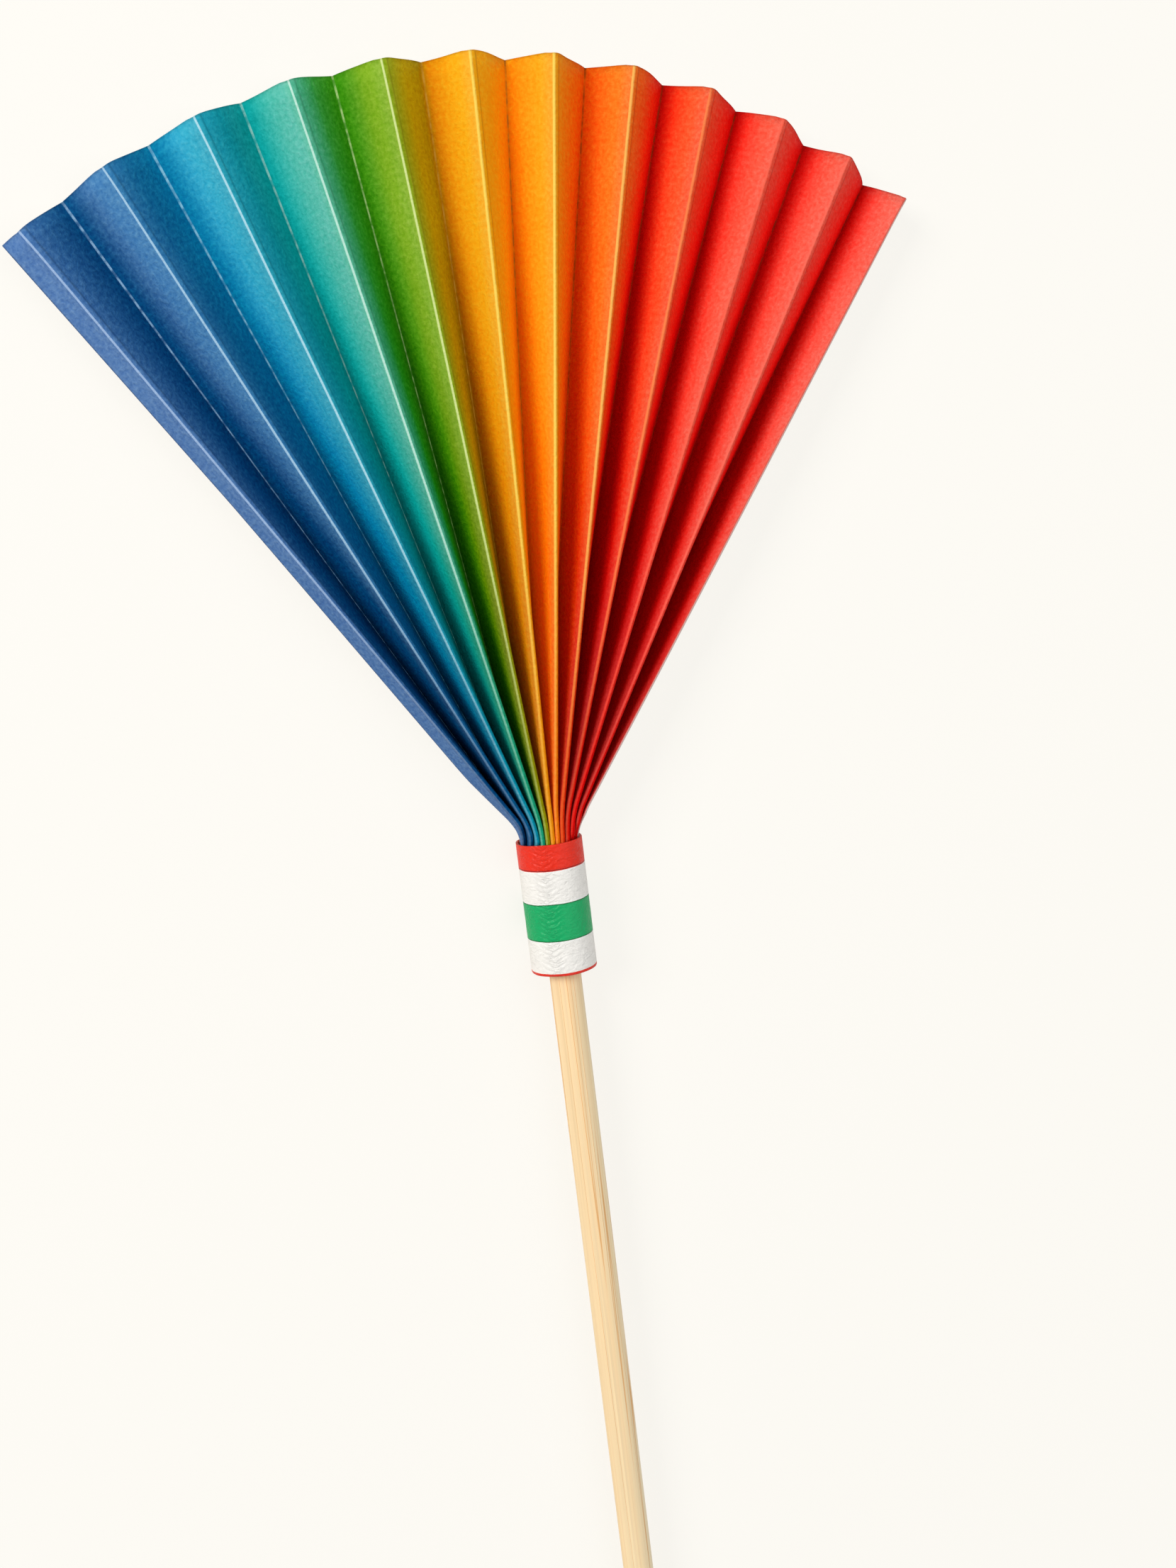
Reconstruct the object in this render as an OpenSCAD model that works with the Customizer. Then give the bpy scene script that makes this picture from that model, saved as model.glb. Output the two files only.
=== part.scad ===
// Paper fan pick: a pleated, rainbow-printed paper sheet spread like a fan, its pinched foot
// held in a short wound paper sleeve with the squared head of a pointed round wooden stick.
// Millimetres. The pick lies face up on z = 0, on its sleeve and on the fan's back folds. The
// stick runs along y: the fan is on the +y side and the point on the -y side.

/* [Folded sheet] */
// full-width panels of the sheet, an even number
panel_count = 22; // [10:2:26]
// width of one panel from fold to fold
panel_w = 5; // [3.5:0.1:6.5]
// width of the narrow flap left over at the left edge
flap_w = 2.2; // [0.8:0.1:2.8]
// length of the middle fold from the sleeve's mouth to the rim
reach = 68.6; // [50:0.2:90]
// how far the middle of the pinched foot goes into the sleeve
foot_len = 4.1; // [2:0.1:5]
// how much deeper in the sleeve than the middle fold the outermost folds sit
side_draw = 1.9; // [0:0.1:3]
// thickness of the paper
paper_t = 0.2; // [0.14:0.01:0.24]
// flattened width of a fold at the rim
fold_w = 0.42; // [0.3:0.01:0.6]
// air left between neighbouring layers in the pinched foot
layer_gap = 0.036; // [0.02:0.002:0.08]
// steps along the length of each fold
length_steps = 8; // [5:1:12]

/* [Spread of the fan] */
// angle from the fan's middle to either side, in degrees
half_spread = 33.7; // [20:0.05:40]
// how far the whole fan leans to the right of the stick, in degrees
side_lean = 4.4; // [-6:0.1:6]
// how much wider the left panels stand open than the right ones, in degrees
spread_skew = 2.4; // [0:0.1:3]
// slow unevenness of the spread, in degrees
spread_wave = 0.3; // [0:0.1:1]
// half-width that the straight folds aim at in the mouth
waist_aim = 1.6; // [0.6:0.05:2]

/* [Wound sleeve] */
// wall around the foot, of a few turns of paper
sleeve_wall = 0.25; // [0.15:0.01:0.6]
// half the depth of the foot's outermost layers
end_layer_h = 0.8; // [0.5:0.05:1.5]
// clearance between the foot and the sleeve
foot_fit = 0.02; // [0:0.005:0.05]
// length of the upper red band
red_band = 2.4; // [1:0.05:4]
// length of the upper white band
upper_white_band = 3.1; // [1:0.05:4]
// length of the green band
green_band = 3.55; // [1:0.05:5]
// length of the lower white band
lower_white_band = 3.05; // [1:0.05:4]
// length of the red edge at the lower end
red_edge = 0.3; // [0.2:0.05:0.6]
// bevel of the sleeve's lower corner
sleeve_bevel = 0.12; // [0.05:0.01:0.18]

/* [Wooden stick] */
// diameter of the stick
stick_d = 3; // [2.4:0.1:3.6]
// length of the stick, head to point
stick_len = 125; // [80:1:180]
// air left between the foot and the stick's head
head_gap = 0.4; // [0.2:0.1:1]
// how much the head narrows inside the sleeve, on the radius
head_draw = 0.08; // [0.04:0.01:0.2]
// glue between head and sleeve, on the radius
glue_fit = 0.01; // [0:0.005:0.03]
// length of the sharpened point
point_len = 14.5; // [8:0.5:20]
// diameter of the blunt tip
tip_d = 0.8; // [0.5:0.05:1.2]
// how much fuller than a plain cone the point is, on the radius
point_swell = 0.16; // [0:0.02:0.2]

/* [Colours] */
// the sleeve's red
sleeve_red = "#E42618";
// the sleeve's white
sleeve_white = "#F2EEE8";
// the sleeve's green
sleeve_green = "#0CA45A";
// the pale wood of the stick
wood_tan = "#E2C08A";
// saturation of the rainbow print
print_saturation = 0.88; // [0:0.01:1]
// brightness of the rainbow print
print_value = 0.92; // [0:0.01:1]

/* [Hidden] */
curve_fn = 72;
eps = 0.01;

// Sizes that follow from the values above.
layer_pitch = paper_t + layer_gap;
stack_half = layer_pitch * panel_count / 2;
end_face_x = stack_half + paper_t / 2;
end_face_h = end_layer_h + paper_t / 2;
foot_r = sqrt(end_face_x * end_face_x + end_face_h * end_face_h);
pocket_r = foot_r + foot_fit;
sleeve_r = pocket_r + sleeve_wall;
sleeve_len = red_band + upper_white_band + green_band + lower_white_band + red_edge;
stick_r = stick_d / 2;
head_top = foot_len + side_draw + head_gap;
head_len = sleeve_len - head_top;
shank_len = stick_len - head_len - point_len;
flare_len = 2 * (stack_half - waist_aim) / sin(half_spread);
step_power = 1.9;
depth_release = 0.6;
line_last = panel_count;
half_count = panel_count / 2;
rim_clear = 0.03;

// One line of the sheet, by its number: 0 is the first fold from the left, and a fraction lies
// between two folds. side() runs from -1 to 1 across the fan.
function side(i) = (i - half_count) / half_count;
function lean(i) = side_lean + half_spread * side(i) - spread_skew * side(i) * side(i)
    - spread_wave * sin(270 * side(i));
function lean_rate(i) = half_spread - 2 * spread_skew * side(i)
    - spread_wave * 1.5 * PI * cos(270 * side(i));

// How far a point at distance y beyond the mouth is through the flare near the mouth, 0 to 1.
function flared(y) = min(1, max(0, y / flare_len));
function waist(y) = waist_aim + (stack_half - waist_aim) * pow(1 - flared(y), 2);

// Distance between neighbouring folds, square to them, and the flattened width of a fold.
function pitch(i, y) = (
        waist(y) * cos(turn(i, y)) + max(0, y) * cos(lean(i) - turn(i, y)) * lean_rate(i) * PI / 180
    ) / half_count;
function fold(y) = layer_pitch + (fold_w - layer_pitch) * max(0, y) / reach;

// Half the depth of the pleats: what the panel's width leaves, and no more than the sleeve's
// round pocket lets in at the foot.
function free_depth(i, y) = sqrt(max(0.01, pow(panel_w - fold(y), 2) - pow(pitch(i, y) - fold(y), 2))) / 2;
function foot_face_x(i) = min(end_face_x, abs(i - half_count + 0.5) * layer_pitch + layer_pitch / 2 + paper_t / 2);
function foot_depth(i) = sqrt(foot_r * foot_r - pow(foot_face_x(i), 2)) - paper_t / 2;
function half_depth(i, y) = min(free_depth(i, y), foot_depth(i) + depth_release * max(0, y));

// How much deeper than the middle fold a line sits in the sleeve.
function drawn(i) = side_draw * side(i) * side(i);

// The sheet's cross-sections, as shares of the way from the mouth to the rim, closer where the
// folds flare. The first one stands for the foot's end.
stations = concat([-1, 0], [for (k = [1 : length_steps]) pow(k / length_steps, step_power)]);
station_last = len(stations) - 1;
function along(i, share) = share < 0 ? -foot_len - drawn(i) : (reach - drawn(i)) * share;

// The fan leans forward or back just so far that the lowest point of its back folds meets the
// floor.
rim_lifts = [
    for (share = stations, i = [1 : 2 : line_last])
        if (share > 0)
            (half_depth(i, along(i, share)) + paper_t / 2 - sleeve_r + rim_clear) * reach / along(i, share)
];
rim_lift = max(rim_lifts);
function mid_height(y) = rim_lift * max(0, y) / reach;

// The point of line i at distance y, moved by across sideways and by deep towards the viewer.
function turn(i, y) = lean(i) * flared(y);
function line_x(i, y) = side(i) * waist(y) + max(0, y) * sin(lean(i))
    + layer_pitch / 2 * (1 - flared(y));
function line_y(i, y) = y < 0 ? y : y * cos(lean(i));
function at_line(i, y, across, deep) = [
    line_x(i, y) + cos(turn(i, y)) * across,
    line_y(i, y) - sin(turn(i, y)) * across,
    mid_height(y) + deep
];

// Folds with an even number stand towards the viewer.
function facing(i) = i % 2 == 0 ? 1 : -1;
function fold_left(i, y) = at_line(i, y, -fold(y) / 2, facing(i) * half_depth(i, y));
function fold_right(i, y) = at_line(i, y, fold(y) / 2, facing(i) * half_depth(i, y));
function fold_mid(i, y) = (fold_left(i, y) + fold_right(i, y)) / 2;
function flap_share(y) = (flap_w - fold(y) / 2) / (panel_w - fold(y));
function flap_edge(y) = at_line(
    0, y, -fold(y) / 2 - flap_share(y) * (pitch(0, y) - fold(y)),
    half_depth(0, y) * (1 - 2 * flap_share(y))
);

// The middle line of the folded sheet across the fan at one station, from the flap's edge to
// the right edge.
function folded(i, y) = [fold_left(i, y), fold_mid(i, y), fold_right(i, y)];
function sheet_line(share) = concat(
    [flap_edge(along(0, share))],
    [for (i = [0 : line_last - 1]) each folded(i, along(i, share))],
    [fold_left(line_last, along(line_last, share))]
);

// The paper's two faces lie half a thickness to either side of that line, mitred at the folds.
function unit(v) = v / norm(v);
function face_dir(a, b, up) = unit(cross(b - a, up));
function mitre(m, n) = (m + n) / (1 + m * n);
function offset_line(line, along, shift) = [
    for (k = [0 : len(line) - 1])
        let (
            before = k > 0 ? face_dir(line[k - 1], line[k], along[k])
                : face_dir(line[0], line[1], along[0]),
            after = k < len(line) - 1 ? face_dir(line[k], line[k + 1], along[k])
                : before
        )
        line[k] + shift * mitre(before, after)
];

sheet_lines = [for (share = stations) sheet_line(share)];
function run_of(j, k) = unit(
    sheet_lines[min(j + 1, station_last)][k] - sheet_lines[max(j - 1, 0)][k]
);
runs = [
    for (j = [0 : station_last])
        [for (k = [0 : len(sheet_lines[0]) - 1]) run_of(j, k)]
];
front_face = [for (j = [0 : station_last]) offset_line(sheet_lines[j], runs[j], paper_t / 2)];
back_face = [for (j = [0 : station_last]) offset_line(sheet_lines[j], runs[j], -paper_t / 2)];

// Whether the sheet comes forward from point k to the next. Panels that come forward and panels
// that go back are split along opposite diagonals, so that neighbouring layers stay parallel.
function rising(k) = floor(k / 3) % 2 == 0;

// A strip of the sheet between two of its lines, as a closed solid.
module sheet_strip(first, last) {
    cols = last - first + 1;
    rows = station_last + 1;
    points = concat(
        [for (j = [0 : rows - 1]) each [for (k = [first : last]) front_face[j][k]]],
        [for (j = [0 : rows - 1]) each [for (k = [first : last]) back_face[j][k]]]
    );
    back_start = rows * cols;
    faces = concat(
        [
            for (j = [0 : rows - 2], k = [0 : cols - 2])
                let (a = j * cols + k)
                each rising(first + k)
                    ? [[a, a + cols, a + cols + 1], [a, a + cols + 1, a + 1]]
                    : [[a, a + cols, a + 1], [a + cols, a + cols + 1, a + 1]]
        ],
        [
            for (j = [0 : rows - 2], k = [0 : cols - 2])
                let (a = back_start + j * cols + k)
                each rising(first + k)
                    ? [[a, a + cols + 1, a + cols], [a, a + 1, a + cols + 1]]
                    : [[a, a + 1, a + cols], [a + cols, a + 1, a + cols + 1]]
        ],
        [
            for (j = [0 : rows - 2], k = [0, cols - 1])
                let (
                    a = j * cols + k,
                    b = back_start + a
                )
                each k == 0
                    ? [[a, b + cols, a + cols], [a, b, b + cols]]
                    : [[a, a + cols, b + cols], [a, b + cols, b]]
        ],
        [
            for (k = [0 : cols - 2], j = [0, rows - 1])
                let (
                    a = j * cols + k,
                    b = back_start + a
                )
                each j == 0
                    ? [[a, a + 1, b + 1], [a, b + 1, b]]
                    : [[a, b + 1, a + 1], [a, b, b + 1]]
        ]
    );
    polyhedron(points = points, faces = faces, convexity = 8);
}

// The print runs through the rainbow from blue on the left to red on the right.
function hue(part) = 218 - 218 * pow(part, 0.72);
function hue_channel(h, start) =
    let (k = (start + h / 60) % 6)
    print_value - print_value * print_saturation * max(0, min(1, min(k, 4 - k)));
function rainbow(part) = [
    hue_channel(hue(part), 5), hue_channel(hue(part), 3), hue_channel(hue(part), 1)
];

// One pleated sheet of paper.
module paper_fan() {
    for (i = [0 : line_last]) {
        first = i == 0 ? 0 : 3 * i - 1;
        last = i == line_last ? 3 * line_last + 1 : 3 * i + 2;
        color(rainbow(i / line_last))
            sheet_strip(first, last);
    }
}

// A ring of the sleeve between two distances below the mouth, around the foot's pocket and
// the stick's head.
module sleeve_band(from, to, lower_bevel = 0) {
    difference() {
        union() {
            translate([0, 0, from])
                cylinder(r = sleeve_r, h = to - from - lower_bevel, $fn = curve_fn);
            if (lower_bevel > 0)
                translate([0, 0, to - lower_bevel])
                    cylinder(r1 = sleeve_r, r2 = sleeve_r - lower_bevel, h = lower_bevel, $fn = curve_fn);
        }
        sleeve_bore();
    }
}

// The pocket for the foot, and below it the narrower hole around the stick's head.
module sleeve_bore() {
    translate([0, 0, -1])
        cylinder(r = pocket_r, h = head_top + 1, $fn = curve_fn);
    translate([0, 0, head_top - eps])
        cylinder(
            r1 = stick_r - head_draw + glue_fit, r2 = stick_r + glue_fit,
            h = head_len + 2 * eps, $fn = curve_fn
        );
}

// Lays a round part, drawn downwards from the mouth along z, along the stick's line.
module lay_down() {
    rotate([90, 0, 0])
        children();
}

// The printed paper strip, wound tight and glued, its turns as one solid.
module paper_sleeve() {
    upper_white_from = red_band;
    green_from = upper_white_from + upper_white_band;
    lower_white_from = green_from + green_band;
    red_edge_from = lower_white_from + lower_white_band;
    lay_down() {
        color(sleeve_red)
            sleeve_band(0, upper_white_from);
        color(sleeve_white)
            sleeve_band(upper_white_from, green_from);
        color(sleeve_green)
            sleeve_band(green_from, lower_white_from);
        color(sleeve_white)
            sleeve_band(lower_white_from, red_edge_from);
        color(sleeve_red)
            sleeve_band(red_edge_from, sleeve_len, sleeve_bevel);
    }
}

// Radius of the sharpened point at a share of its length from the shank.
function point_r(part) = stick_r + (tip_d / 2 - stick_r) * part + point_swell * 4 * part * (1 - part);

// The round stick: a squared head, a plain shank and a slightly full, blunt point.
module wooden_stick() {
    point_steps = 8;
    color(wood_tan)
        lay_down() {
            translate([0, 0, head_top])
                cylinder(r1 = stick_r - head_draw, r2 = stick_r, h = head_len, $fn = curve_fn);
            translate([0, 0, sleeve_len])
                cylinder(r = stick_r, h = shank_len, $fn = curve_fn);
            translate([0, 0, sleeve_len + shank_len])
                rotate_extrude($fn = curve_fn)
                    polygon(concat(
                        [[0, 0]],
                        [
                            for (k = [0 : point_steps])
                                [point_r(k / point_steps), point_len * k / point_steps]
                        ],
                        [[0, point_len]]
                    ));
        }
}

// The pick is placed with the middle of its outline over the origin and its lowest points
// on the floor.
rim_xs = [for (p = concat(front_face[station_last], back_face[station_last])) p[0]];
rim_ys = [for (p = concat(front_face[station_last], back_face[station_last])) p[1]];
stick_end_y = -(head_top + stick_len);
place = [
    -(max(rim_xs) + min(rim_xs)) / 2,
    -(max(rim_ys) + stick_end_y) / 2,
    sleeve_r
];

translate(place)
        paper_fan();
translate(place)
        paper_sleeve();
translate(place)
        wooden_stick();
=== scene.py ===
"""Paper fan pick, dressed: the pleated printed sheet, the wound paper sleeve and the wooden stick.

The pick's lengths are millimetres until a mesh is written, which turns them to metres. The lengths
of the stage are metres.
"""

import bpy
import numpy as np
from mathutils import Matrix, Vector


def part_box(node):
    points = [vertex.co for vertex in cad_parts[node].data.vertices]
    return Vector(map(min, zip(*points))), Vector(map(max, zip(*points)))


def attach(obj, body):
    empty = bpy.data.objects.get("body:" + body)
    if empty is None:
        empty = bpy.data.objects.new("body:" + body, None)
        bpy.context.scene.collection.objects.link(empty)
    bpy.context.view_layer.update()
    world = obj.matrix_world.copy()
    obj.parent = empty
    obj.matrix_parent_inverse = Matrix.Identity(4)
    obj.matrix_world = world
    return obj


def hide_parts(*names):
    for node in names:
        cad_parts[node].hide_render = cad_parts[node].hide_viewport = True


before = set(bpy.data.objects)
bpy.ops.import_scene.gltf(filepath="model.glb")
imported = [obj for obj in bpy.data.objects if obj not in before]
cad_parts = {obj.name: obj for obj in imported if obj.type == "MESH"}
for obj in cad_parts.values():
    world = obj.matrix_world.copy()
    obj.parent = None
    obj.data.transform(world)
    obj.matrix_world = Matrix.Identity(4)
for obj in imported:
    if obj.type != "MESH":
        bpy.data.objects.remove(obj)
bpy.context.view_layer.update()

MM = 0.001

# The folded sheet, as the part's source has it.
PANEL_COUNT = 22
HALF_COUNT = PANEL_COUNT / 2
PANEL_W = 5.0
FLAP_W = 2.2
REACH = 68.6
FOOT_LEN = 4.1
SIDE_DRAW = 1.9
PAPER_T = 0.2
LAYER_PITCH = 0.236
HALF_SPREAD = np.radians(33.7)
SIDE_LEAN = np.radians(4.4)
SPREAD_SKEW = np.radians(2.4)
SPREAD_WAVE = np.radians(0.3)
WAIST_AIM = 1.6
END_LAYER_H = 0.8
DEPTH_RELEASE = 0.6
RIM_CLEAR = 0.03
SHEET_W = PANEL_COUNT * PANEL_W + FLAP_W

# A crease is narrower here than the source's flattened fold. It reaches this width at CREASE_RUN
# above the mouth.
CREASE_W = 0.16
CREASE_RUN = 0.25 * REACH

# The front folds are rounded over on their right. At the mouth this shoulder has only a share of
# its width, SHOULDER_AT_MOUTH, and it never takes up more of its panel than SHOULDER_LIMIT.
SHOULDER_W = 0.62
SHOULDER_AT_MOUTH = 0.3
SHOULDER_LIMIT = 0.4

# How far a panel bellies out: BELLY_UNEVEN either way by a sine of its number, on top of what the
# ones that look right or left share. RIPPLE is the height of the wave at the rim.
BELLY_UNEVEN = 0.11
BELLY_RIGHT = 0.10
BELLY_LEFT = -0.05
RIPPLE = 0.06

# The narrow flap springs out over FLAP_RISE above the sleeve, and eases back over FLAP_FALL below
# FLAP_CALM.
FLAP_SPRING = np.radians(15)
FLAP_FREE = 0.3
FLAP_RISE = 8
FLAP_CALM = 40
FLAP_FALL = 30

# How deep and how wide the front folds' tips are worn, and how fast the wear fades below the rim.
TIP_WEAR = 0.13
TIP_WEAR_W = 0.6
TIP_WEAR_FADE = 50

# Where the mesh of the sheet has its columns, as shares of a panel and of a shoulder, and how many
# rows it has in the foot and above it. The rows stand closer near the mouth.
PANEL_STEPS = np.array([0.0, 0.05, 0.16, 0.32, 0.5, 0.68, 0.84, 0.95, 1.0])
SHOULDER_STEPS = np.array([0.0, 0.14, 0.3, 0.48, 0.66, 0.84])
FOOT_ROWS = 6
OPEN_ROWS = 76
ROW_CROWDING = 1.6

# The wound sleeve: the bands from the mouth down, the wall round the foot's pocket, the pocket's
# depth, the strip's thickness, and what rounds and crumples it.
BANDS = (2.4, 3.1, 3.55, 3.05, 0.3)
SLEEVE_LEN = sum(BANDS)
SLEEVE_WALL = 0.25
POCKET_DEPTH = 6.4
STRIP_T = 0.07
LOWER_BEVEL = 0.12
GLUE_GAP = 0.01
CRUMPLE = 0.006

# The stick, from its head down.
STICK_R = 1.5
HEAD_DRAW = 0.08
HEAD_LEN = SLEEVE_LEN - POCKET_DEPTH
POINT_LEN = 14.5
TIP_R = 0.4
POINT_SWELL = 0.16


def node_span(name):
    """A CAD node's lowest and highest corners, in millimetres."""
    low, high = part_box(name)
    return np.array(low) / MM, np.array(high) / MM


sleeve_low, sleeve_high = node_span("paper_sleeve")
stick_low, stick_high = node_span("wooden_stick")
SLEEVE_R = (sleeve_high[0] - sleeve_low[0]) / 2
STICK_LEN = stick_high[1] - stick_low[1]
MOUTH = np.array([
    (sleeve_low[0] + sleeve_high[0]) / 2,
    sleeve_high[1],
    (sleeve_low[2] + sleeve_high[2]) / 2,
])


# Colours, nodes and meshes.

TIMES = {"operation": "MULTIPLY"}
TIMES_PLUS = {"operation": "MULTIPLY_ADD"}
SMOOTH = {"interpolation_type": "SMOOTHSTEP"}
IN_COLOUR = {"data_type": "RGBA"}
TINTING = {"data_type": "RGBA", "blend_type": "MULTIPLY"}


def colour(code):
    """A colour written as an sRGB hex code, as the linear colour that a shader takes."""
    srgb = np.array([int(code[i:i + 2], 16) for i in (1, 3, 5)]) / 255
    linear = np.where(srgb <= 0.04045, srgb / 12.92, ((srgb + 0.055) / 1.055) ** 2.4)
    return (*[float(c) for c in linear], 1.0)


def add(tree, kind, settings=None, stops=(), **inputs):
    """Adds a node with its settings and links. settings are its properties, and stops the places
    and colours of a ramp. inputs are its sockets, by name or, as in_0, by number: a node or a
    socket is linked, and anything else is set on the socket."""
    node = tree.nodes.new("ShaderNode" + kind)
    for name, value in (settings or {}).items():
        setattr(node.color_ramp if name == "interpolation" else node, name, value)
    if stops:
        band = node.color_ramp.elements
        while len(band) < len(stops):
            band.new(1.0)
        for element, (place, tone) in zip(band, stops):
            element.position = place
            element.color = colour(tone)
    for name, value in inputs.items():
        label = name.replace("_", " ")
        socket = (
            node.inputs[int(name[3:])] if name.startswith("in_")
            else next(s for s in node.inputs if s.enabled and s.name == label)
        )
        if isinstance(value, bpy.types.Node):
            value = next(s for s in value.outputs if s.enabled)
        if isinstance(value, bpy.types.NodeSocket):
            tree.links.new(value, socket)
        else:
            socket.default_value = value
    return node


def new_material(name):
    """An empty node material and its tree."""
    material = bpy.data.materials.new(name)
    material.use_nodes = True
    material.node_tree.nodes.clear()
    return material, material.node_tree


def grid_faces(rows, cols, start=0, flip=False, closed=False):
    """The four-sided faces of a grid of rows by cols points, numbered row by row from start. A
    closed grid joins its last column to its first."""
    across = np.arange(cols if closed else cols - 1)
    row = np.arange(rows - 1)[:, None] * cols + start
    a, b = (row + across).ravel(), (row + (across + 1) % cols).ravel()
    quads = np.stack([a, a + cols, b + cols, b], axis=1)
    return quads[:, ::-1] if flip else quads


def write_piece(name, points, faces):
    """A new object at the origin with these points, in millimetres, and smooth faces."""
    mesh = bpy.data.meshes.new(name)
    corners = [face for part in faces for face in part.tolist()]
    mesh.from_pydata((points * MM).tolist(), [], corners)
    mesh.polygons.foreach_set("use_smooth", np.ones(len(mesh.polygons), dtype=bool))
    mesh.update()
    piece = bpy.data.objects.new(name, mesh)
    bpy.context.collection.objects.link(piece)
    return piece


def write_uv(piece, name, values):
    """A UV map that gives each corner its point's pair of values."""
    mesh = piece.data
    corners = np.empty(len(mesh.loops), dtype=np.int32)
    mesh.loops.foreach_get("vertex_index", corners)
    layer = mesh.uv_layers.new(name=name)
    layer.data.foreach_set("uv", values[corners].astype(np.float32).ravel())


def write_value(piece, name, values):
    """A number for each point of the mesh."""
    attribute = piece.data.attributes.new(name, "FLOAT", "POINT")
    attribute.data.foreach_set("value", values.astype(np.float32))


# Camera and stage.


def set_camera():
    """A camera at the photograph's place over the lying pick. Its place and directions were worked
    out from the folds' ends in the photograph: right and ahead are the picture's own."""
    sensor_height = 36.0
    photo_height_px = 2212.0
    focal_length_px = 2200.0
    place = MOUTH + np.array([-30.78, 29.94, 137.56])
    right = Vector((0.9571, -0.1154, 0.2659))
    ahead = Vector((0.2436, -0.1767, -0.9537)).normalized()
    right = (right - right.dot(ahead) * ahead).normalized()
    up = right.cross(ahead)
    turn = Matrix((right, up, -ahead)).transposed().to_4x4()
    lens_data = bpy.data.cameras.new("camera")
    lens_data.sensor_fit = "VERTICAL"
    lens_data.sensor_height = sensor_height
    lens_data.lens = sensor_height * focal_length_px / photo_height_px
    lens_data.clip_start = 0.005
    lens_data.clip_end = 20.0
    camera = bpy.data.objects.new("camera", lens_data)
    bpy.context.collection.objects.link(camera)
    camera.matrix_world = Matrix.Translation(Vector([float(c) * MM for c in place])) @ turn
    bpy.context.scene.camera = camera


def softbox(name, place, aim, width, power, tint):
    """A square soft light at place, turned to aim. Lengths in metres, power in watts."""
    data = bpy.data.lights.new(name, "AREA")
    data.shape = "SQUARE"
    data.size = width
    data.energy = power
    data.color = colour(tint)[:3]
    light = bpy.data.objects.new(name, data)
    bpy.context.collection.objects.link(light)
    light.location = place
    light.rotation_euler = (Vector(aim) - Vector(place)).to_track_quat("-Z", "Y").to_euler()


def set_stage():
    """A plain warm-white floor under the pick, soft daylight from the upper left of the picture, a
    broad soft light high over its right, and a pale world around it."""
    world = bpy.data.worlds.new("pale_room")
    bpy.context.scene.world = world
    world.use_nodes = True
    tree = world.node_tree
    tree.nodes.clear()
    path = add(tree, "LightPath")
    seen = path.outputs["Is Camera Ray"]
    for ray in ("Is Glossy Ray", "Is Transmission Ray"):
        seen = add(tree, "Math", {"operation": "MAXIMUM"}, in_0=seen, in_1=path.outputs[ray])
    room = add(tree, "Background", Color=colour("#FFFDF8"), Strength=0.275)
    backdrop = add(tree, "Background", Color=colour("#FEFCF6"), Strength=1.0)
    mixed = add(tree, "MixShader", in_0=seen, in_1=room, in_2=backdrop)
    add(tree, "OutputWorld", Surface=mixed)

    mesh = bpy.data.meshes.new("floor")
    half = 3.0
    mesh.from_pydata(
        [(-half, -half, 0), (half, -half, 0), (half, half, 0), (-half, half, 0)], [], [(0, 1, 2, 3)],
    )
    floor = bpy.data.objects.new("floor", mesh)
    bpy.context.collection.objects.link(floor)
    material, tree = new_material("matt_white_card")
    path = add(tree, "LightPath")
    card = add(tree, "BsdfDiffuse", Color=colour("#F1EEE9"))
    # The camera sees the card nearly as plain as the backdrop, with the pick's shadow faint on it.
    faint = add(tree, "BsdfDiffuse", Color=colour("#757370"))
    glow = add(tree, "Emission", Color=colour("#FEFCF6"), Strength=0.832)
    lifted = add(tree, "AddShader", in_0=faint, in_1=glow)
    shown = add(tree, "MixShader", in_0=path.outputs["Is Camera Ray"], in_1=card, in_2=lifted)
    add(tree, "OutputMaterial", Surface=shown)
    mesh.materials.append(material)

    fan_middle = (0.0, 0.05, 0.0)
    softbox("window", (-0.452, 0.297, 0.397), fan_middle, width=0.28, power=2.76, tint="#FFFDF9")
    softbox("sky", (0.36, 0.15, 0.72), fan_middle, width=0.9, power=2.8, tint="#FCFDFF")
    bpy.context.scene.view_settings.view_transform = "Standard"


# The folded sheet.


def side(i):
    """Where line i of the sheet lies across the fan, from -1 at the left to 1 at the right."""
    return (i - HALF_COUNT) / HALF_COUNT


def lean(i):
    """The angle of line i from the stick's line, positive to the right: even steps across the fan,
    skewed by the square of side and a slow sine of it, as the photographed one is spread."""
    u = side(i)
    return SIDE_LEAN + HALF_SPREAD * u - SPREAD_SKEW * u * u - SPREAD_WAVE * np.sin(1.5 * np.pi * u)


def lean_rate(i):
    """How fast that angle grows with side."""
    u = side(i)
    return HALF_SPREAD - 2 * SPREAD_SKEW * u - SPREAD_WAVE * 1.5 * np.pi * np.cos(1.5 * np.pi * u)


# Half the stack of layers in the foot, the length over which it flares into the fan, and the face
# and the round that the layers stay within.
STACK_HALF = LAYER_PITCH * HALF_COUNT
FLARE_LEN = 2 * (STACK_HALF - WAIST_AIM) / np.sin(HALF_SPREAD)
END_FACE_X = STACK_HALF + PAPER_T / 2
FOOT_R = np.hypot(END_FACE_X, END_LAYER_H + PAPER_T / 2)


def flared(y):
    """How far distance y is through the flare above the mouth, from 0 to 1."""
    return np.clip(y / FLARE_LEN, 0, 1)


def waist(y):
    """Half-width of the sheet's straight part at the mouth: the stack's own, easing to the
    narrower one that the straight folds aim at."""
    return WAIST_AIM + (STACK_HALF - WAIST_AIM) * (1 - flared(y)) ** 2


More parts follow.
